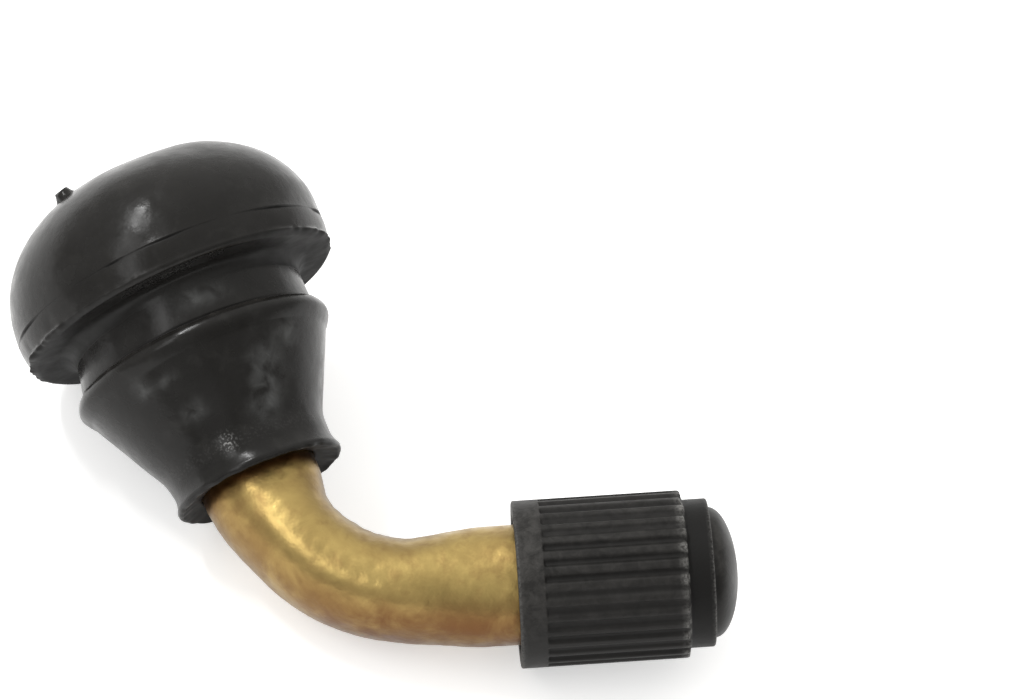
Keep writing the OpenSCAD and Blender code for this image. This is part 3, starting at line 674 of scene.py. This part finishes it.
# %% Helpers for finishes
def new_finish(name):
    """A material with its shader, and the place on the piece in millimetres."""
    finish = bpy.data.materials.new(name)
    finish.use_nodes = True
    nodes, links = finish.node_tree.nodes, finish.node_tree.links
    shader = nodes["Principled BSDF"]
    place, scale = nodes.new("ShaderNodeTexCoord"), nodes.new("ShaderNodeMapping")
    scale.inputs["Scale"].default_value = (1000, 1000, 1000)
    links.new(place.outputs["Object"], scale.inputs["Vector"])
    return finish, nodes, links, shader, scale.outputs["Vector"]


def noise(nodes, links, place, per_mm, detail=3.0, rough=0.5, bend=0.0):
    """Soft random values between 0 and 1 that change about per_mm times in a millimetre."""
    cloud = nodes.new("ShaderNodeTexNoise")
    cloud.inputs["Scale"].default_value = per_mm
    cloud.inputs["Detail"].default_value = detail
    cloud.inputs["Roughness"].default_value = rough
    cloud.inputs["Distortion"].default_value = bend
    links.new(place, cloud.inputs["Vector"])
    return cloud.outputs["Fac"]


def spread(nodes, links, value, low, high, to_low, to_high):
    """Maps low..high of a value to to_low..to_high and holds the ends."""
    ramp = nodes.new("ShaderNodeMapRange")
    for socket, number in zip(ramp.inputs[1:5], (low, high, to_low, to_high)):
        socket.default_value = number
    links.new(value, ramp.inputs["Value"])
    return ramp.outputs["Result"]


def blend(nodes, links, share, first, second):
    """Colour that goes from the first to the second as the share goes from 0 to 1."""
    mix = nodes.new("ShaderNodeMix")
    mix.data_type = "RGBA"
    links.new(share, mix.inputs["Factor"])
    for socket, colour in ((mix.inputs[6], first), (mix.inputs[7], second)):
        if isinstance(colour, tuple):
            socket.default_value = (*colour, 1)
        else:
            links.new(colour, socket)
    return mix.outputs[2]


def sums(nodes, links, first, second, how="ADD"):
    """Two values added, multiplied or otherwise put together."""
    node = nodes.new("ShaderNodeMath")
    node.operation = how
    for socket, value in zip(node.inputs, (first, second)):
        if isinstance(value, (int, float)):
            socket.default_value = value
        else:
            links.new(value, socket)
    return node.outputs["Value"]


def mark(nodes, name):
    """One of the numbers that were kept with the points of a piece."""
    reader = nodes.new("ShaderNodeAttribute")
    reader.attribute_name = name
    return reader.outputs["Fac"]


def relief(nodes, links, shader, *layers):
    """Small bumps: each layer is a value and its height in millimetres, laid one on another."""
    below = None
    for value, tall in layers:
        bump = nodes.new("ShaderNodeBump")
        bump.inputs["Strength"].default_value = 1.0
        bump.inputs["Distance"].default_value = tall * MM
        links.new(value, bump.inputs["Height"])
        if below is not None:
            links.new(below, bump.inputs["Normal"])
        below = bump.outputs["Normal"]
    links.new(below, shader.inputs["Normal"])


print("helpers for finishes are ready")

# %% [markdown]
# Tyre rubber is nearly black and a little brown, with a satin skin from the mould. Wax that creeps out of it leaves
# pale, cloudy patches, most of all at thin edges. The colour goes between two dark tones, and the marks of the edges
# and of the wax bring in the pale ones. The wax mark also carries painted light in the middle of the sealing face,
# pale painted glints stand for a highlight near the lip, and painted shade makes creases and recesses darker and
# duller. The roughness is cloudy as well, so that the gloss is patchy too.

# %% Rubber
moulded_rubber, nodes, links, shader, place = new_finish("moulded_rubber")
clouds = noise(nodes, links, place, 0.28, 4.0, 0.55)
grain = noise(nodes, links, place, 5.0, 3.0, 0.6)
smears = noise(nodes, links, place, 0.9, 3.0, 0.5, 0.4)
sparks = noise(nodes, links, place, 7.0, 1.0, 0.5)
dark = blend(nodes, links, spread(nodes, links, clouds, 0.35, 0.7, 0, 1),
             (0.0098, 0.0092, 0.0084), (0.0155, 0.0147, 0.0138))
dark = blend(nodes, links, spread(nodes, links, smears, 0.55, 0.75, 0, 0.4), dark, (0.025, 0.024, 0.0225))
# Pale wax patches, and painted light in the middle of the sealing face.
wax_and_light_share = sums(nodes, links, mark(nodes, "wax_and_painted_light"), spread(nodes, links, smears, 0.32, 0.7, 0, 1), "MULTIPLY")
dark = blend(nodes, links, wax_and_light_share, dark, (0.075, 0.076, 0.075))
edge = sums(nodes, links, mark(nodes, "pale_edge"), spread(nodes, links, grain, 0.35, 0.65, 0.2, 0.8), "MULTIPLY")
dark = blend(nodes, links, edge, dark, (0.06, 0.055, 0.05))
# Painted glints: pale specks that stand for a highlight near the lip.
glint_paint_share = sums(nodes, links, mark(nodes, "painted_glints"), spread(nodes, links, sparks, 0.54, 0.64, 0, 1), "MULTIPLY")
dark = blend(nodes, links, glint_paint_share, dark, (0.2, 0.2, 0.195))
# Painted shade: creases, the ends of the sealing face and the dish at the lip go darker.
links.new(blend(nodes, links, mark(nodes, "painted_shade"), dark, (0.0025, 0.0022, 0.002)), shader.inputs["Base Color"])
gloss = spread(nodes, links, noise(nodes, links, place, 0.8, 3.0), 0.3, 0.7, 0.17, 0.32)
dull = sums(nodes, links, mark(nodes, "painted_shade"), 0.5, "MULTIPLY")
links.new(sums(nodes, links, gloss, dull), shader.inputs["Roughness"])
shader.inputs["Specular IOR Level"].default_value = 0.18
relief(nodes, links, shader, (noise(nodes, links, place, 1.3, 2.0), 0.018), (grain, 0.003))
rubber_head.data.materials.append(moulded_rubber)
print("rubber:", len(nodes), "nodes")

# %% [markdown]
# Raw brass is yellow where it is bright and turns ochre and then brown where it was touched. The stains are patches
# of several sizes, so two noises share the work. A painted shadow makes the brass darkest at the lip, where the rubber
# meets it. The outside of the bend is brown, partly from tarnish and partly from painted shade, and painted shade
# darkens the inside. Its root, deep in the air hole, carries a film of rubber.

# %% Brass of the stem
raw_brass, nodes, links, shader, place = new_finish("raw_brass")
shader.inputs["Metallic"].default_value = 1.0
broad = noise(nodes, links, place, 0.35, 5.0, 0.62, 0.6)
spots = noise(nodes, links, place, 0.9, 4.0, 0.55)
gold = blend(nodes, links, spread(nodes, links, broad, 0.36, 0.66, 0, 1), (0.46, 0.335, 0.12), (0.34, 0.235, 0.085))
gold = blend(nodes, links, spread(nodes, links, spots, 0.52, 0.74, 0, 0.6), gold, (0.25, 0.155, 0.06))
# Brown tarnish with painted shade on the outside of the bend.
outer_brown_and_shade = sums(nodes, links, mark(nodes, "outer_tarnish_and_shade"), spread(nodes, links, broad, 0.25, 0.6, 0.6, 1.0), "MULTIPLY")
gold = blend(nodes, links, outer_brown_and_shade, gold, (0.14, 0.068, 0.028))
# Painted shade along the inside of the bend.
gold = blend(nodes, links, spread(nodes, links, mark(nodes, "painted_inner_shade"), 0.1, 1, 0, 0.85), gold, (0.15, 0.095, 0.045))
# Painted shadow of the lip.
gold = blend(nodes, links, mark(nodes, "painted_lip_shadow"), gold, (0.12, 0.052, 0.016))
gold = blend(nodes, links, mark(nodes, "film"), gold, (0.01, 0.009, 0.008))
links.new(gold, shader.inputs["Base Color"])
gloss = spread(nodes, links, noise(nodes, links, place, 0.9, 4.0, 0.6), 0.3, 0.7, 0.28, 0.44)
dull = sums(nodes, links, mark(nodes, "film"), 0.35, "MULTIPLY")
links.new(sums(nodes, links, gloss, dull), shader.inputs["Roughness"])
relief(nodes, links, shader, (noise(nodes, links, place, 0.75, 3.0), 0.05),
       (noise(nodes, links, place, 6.0, 2.0), 0.004))
brass_stem.data.materials.append(raw_brass)
print("brass:", len(nodes), "nodes")

# %% [markdown]
# The cap's plastic is matte and nearly black from the mould, with a smoother crown. It is paler in cloudy patches
# towards its upper side. Painted shade keeps the flutes and the collar dark, the ends of the ribs and the edges are
# rubbed to a paler grey, and a painted highlight lies along the top edge of the collar.

# %% Plastic of the cap
black_plastic, nodes, links, shader, place = new_finish("black_plastic")
clouds = noise(nodes, links, place, 0.5, 4.0, 0.6)
grain = noise(nodes, links, place, 6.0, 3.0, 0.6)
dark = blend(nodes, links, spread(nodes, links, clouds, 0.35, 0.7, 0, 1),
             (0.0085, 0.008, 0.0074), (0.0145, 0.0138, 0.0128))
# Paler in cloudy patches towards the upper side.
upper_paling = noise(nodes, links, place, 1.1, 5.0, 0.7, 0.5)
upper_paling = sums(nodes, links, spread(nodes, links, upper_paling, 0.4, 0.68, 0.12, 0.65), mark(nodes, "paler_upward"), "MULTIPLY")
dark = blend(nodes, links, upper_paling, dark, (0.046, 0.044, 0.0415))
# Painted shade in the flutes and on the collar.
dark = blend(nodes, links, sums(nodes, links, mark(nodes, "flute"), 0.8, "MULTIPLY"), dark, (0.007, 0.0067, 0.0063))
dark = blend(nodes, links, mark(nodes, "collar"), dark, (0.006, 0.0057, 0.0053))
# Rubbed pale ends and edges, with a painted highlight on the collar's top edge.
rub_and_highlight = sums(nodes, links, mark(nodes, "wear_and_edge_highlight"), spread(nodes, links, grain, 0.35, 0.62, 0.1, 0.9), "MULTIPLY")
links.new(blend(nodes, links, rub_and_highlight, dark, (0.24, 0.235, 0.225)), shader.inputs["Base Color"])
shader.inputs["Specular IOR Level"].default_value = 0.16
satin = spread(nodes, links, clouds, 0.3, 0.7, 0.46, 0.6)
sleek = sums(nodes, links, mark(nodes, "crown"), 0.12, "MULTIPLY")
links.new(sums(nodes, links, satin, sleek, "SUBTRACT"), shader.inputs["Roughness"])
relief(nodes, links, shader, (noise(nodes, links, place, 1.5, 3.0), 0.012), (grain, 0.006))
screw_cap.data.materials.append(black_plastic)
print("plastic:", len(nodes), "nodes")

# %% [markdown]
# The other small parts inside keep their solids: the seal in the cap, and the valve core with its plug, barrel,
# gasket, pin, collar, cup and washer. They are turned brass and soft rubber, and they are hidden while the cap is on.
# Each gets its finish on its material slots. The spring is bright steel wire and takes its finish as any new piece
# does.

# %% Finishes of the inner parts
def turned_metal(name, bright, dull, low, high):
    """Lathe-turned metal: two tones by a fine noise, and a roughness between low and high."""
    finish, nodes, links, shader, place = new_finish(name)
    shader.inputs["Metallic"].default_value = 1.0
    tone = spread(nodes, links, noise(nodes, links, place, 1.4, 4.0, 0.6), 0.35, 0.7, 0, 1)
    links.new(blend(nodes, links, tone, bright, dull), shader.inputs["Base Color"])
    links.new(spread(nodes, links, noise(nodes, links, place, 3.0), 0.3, 0.7, low, high), shader.inputs["Roughness"])
    relief(nodes, links, shader, (noise(nodes, links, place, 9.0, 2.0), 0.004))
    return finish


def soft_rubber(name, deep, pale):
    """Cut rubber: two tones by a cloudy noise, matte, with a fine grain."""
    finish, nodes, links, shader, place = new_finish(name)
    tone = spread(nodes, links, noise(nodes, links, place, 1.2, 4.0, 0.6), 0.35, 0.7, 0, 1)
    links.new(blend(nodes, links, tone, deep, pale), shader.inputs["Base Color"])
    links.new(spread(nodes, links, noise(nodes, links, place, 2.0), 0.3, 0.7, 0.55, 0.75), shader.inputs["Roughness"])
    relief(nodes, links, shader, (noise(nodes, links, place, 8.0, 3.0), 0.006))
    return finish


core_brass = turned_metal("core_brass", (0.76, 0.6, 0.29), (0.6, 0.44, 0.2), 0.22, 0.36)
spring_wire = turned_metal("spring_wire", (0.62, 0.62, 0.64), (0.5, 0.5, 0.52), 0.2, 0.32)
seal_rubber = soft_rubber("seal_rubber", (0.02, 0.02, 0.02), (0.04, 0.04, 0.038))
gasket_rubber = soft_rubber("gasket_rubber", (0.42, 0.05, 0.03), (0.5, 0.09, 0.05))
inside = {"cap_seal": seal_rubber, "core_plug": core_brass, "core_barrel": core_brass, "core_gasket": gasket_rubber,
          "core_pin": core_brass, "pin_collar": core_brass, "core_cup": core_brass, "seat_washer": seal_rubber}
for name, finish in inside.items():
    for slot in frame["nodes"][name].material_slots:
        slot.material = finish
core_coil.data.materials.append(spring_wire)
print("inner parts with a finish:", len(inside) + 1)

# %% [markdown]
# ## Bodies
# Each new piece stands for one solid and moves with the solid's body: head and stem stay together, and the cap
# unscrews. The spring stays with the stem. The solids remain for collision and are only hidden.

# %% Ride and replace
for piece, node, body, slot in ((rubber_head, "rubber_body", "valve", "body_rubber"),
                                (brass_stem, "brass_stem", "valve", "stem_brass"),
                                (screw_cap, "dust_cap", "cap", "cap_plastic"),
                                (core_coil, "core_spring", "valve", "spring_steel")):
    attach(piece, body)
    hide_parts(node)
    print(piece.name, "rides on", body)
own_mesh(core_coil)

# %% [markdown]
# ## Table and light
# The valve lies on a white table under soft light. The table is a large disc that glows a little, like a light table,
# so that shadows on it stay pale. A narrow tube lamp and two soft ones hang on the left for the highlights, and a weak
# one in front lights the dark side of the brass. The room is bright above and behind the valve and greyer behind the
# viewer, which gives the brass something to mirror.

# %% Table
table_columns = 64
ring = np.linspace(0, TURN, table_columns, endpoint=False)
span = np.array([0.2, 0.6, 1.5])[:, None]
disc = np.stack([span * np.cos(ring), span * np.sin(ring), 0 * span * ring], axis=-1)
index = np.arange(span.size * table_columns).reshape(span.size, table_columns)
beside = np.roll(index, -1, axis=1)
quads = np.stack([index[1:], beside[1:], beside[:-1], index[:-1]], axis=-1).reshape(-1, 4)
top = bpy.data.meshes.new("table_top")
top.from_pydata(disc.reshape(-1, 3).tolist(), [], [index[0].tolist()] + quads.tolist())
top.update()
table = bpy.data.objects.new("table_top", top)
bpy.context.scene.collection.objects.link(table)
white, nodes, links, shader, place = new_finish("white_table")
links.new(blend(nodes, links, noise(nodes, links, place, 0.02), (0.9, 0.9, 0.9), (0.92, 0.92, 0.92)),
          shader.inputs["Base Color"])
shader.inputs["Roughness"].default_value = 0.9
shader.inputs["Emission Color"].default_value = (1, 1, 1, 1)
shader.inputs["Emission Strength"].default_value = 0.44
shader.inputs["Specular IOR Level"].default_value = 0.1
top.materials.append(white)
print("table of", len(top.polygons), "faces")

# %% Lamps
def lamp(name, toward, far, size, power):
    """A lamp of a width and a height, at a distance from the valve's middle in one direction and facing it."""
    light = bpy.data.lights.new(name, "AREA")
    light.shape = "RECTANGLE"
    light.size, light.size_y = size
    light.energy = power
    hung = bpy.data.objects.new(name, light)
    away = unit(toward)
    side = unit(np.cross([0, 1, 0], away))
    pose = np.eye(4)
    pose[:3, :3] = np.stack([side, np.cross(away, side), away], axis=1)
    pose[:3, 3] = away * far + np.array([0, 0, 0.007])
    hung.matrix_world = Matrix(pose.tolist())
    bpy.context.scene.collection.objects.link(hung)


lamp_far = 0.5
lamp("tube_lamp", (-0.46, 0.33, 0.82), lamp_far, (0.02, 0.2), 1.0)
lamp("soft_lamp", (-0.57, -0.33, 0.75), lamp_far, (0.11, 0.4), 0.55)
lamp("side_lamp", (-0.9, -0.4, 0.25), lamp_far, (0.26, 0.5), 0.12)
lamp("front_lamp", (-0.2, -0.9, 0.36), lamp_far, (0.34, 0.4), 0.18)
print("lamps:", [thing.name for thing in bpy.data.lights])

# %% Room
room = bpy.data.worlds.new("grey_room")
room.use_nodes = True
nodes, links = room.node_tree.nodes, room.node_tree.links
sky, toward = nodes.new("ShaderNodeTexCoord"), nodes.new("ShaderNodeVectorMath")
toward.operation = "DOT_PRODUCT"
toward.inputs[1].default_value = unit((0.1, 0.6, 0.8))
links.new(sky.outputs["Generated"], toward.inputs[0])
links.new(spread(nodes, links, toward.outputs["Value"], -0.2, 1.0, 0.34, 1.15), nodes["Background"].inputs["Strength"])
nodes["Background"].inputs["Color"].default_value = (1.0, 0.99, 0.965, 1)
bpy.context.scene.world = room
bpy.context.scene.view_settings.view_transform = "Standard"
print("room of", len(nodes), "nodes")

# %% Finish
bpy.context.view_layer.update()
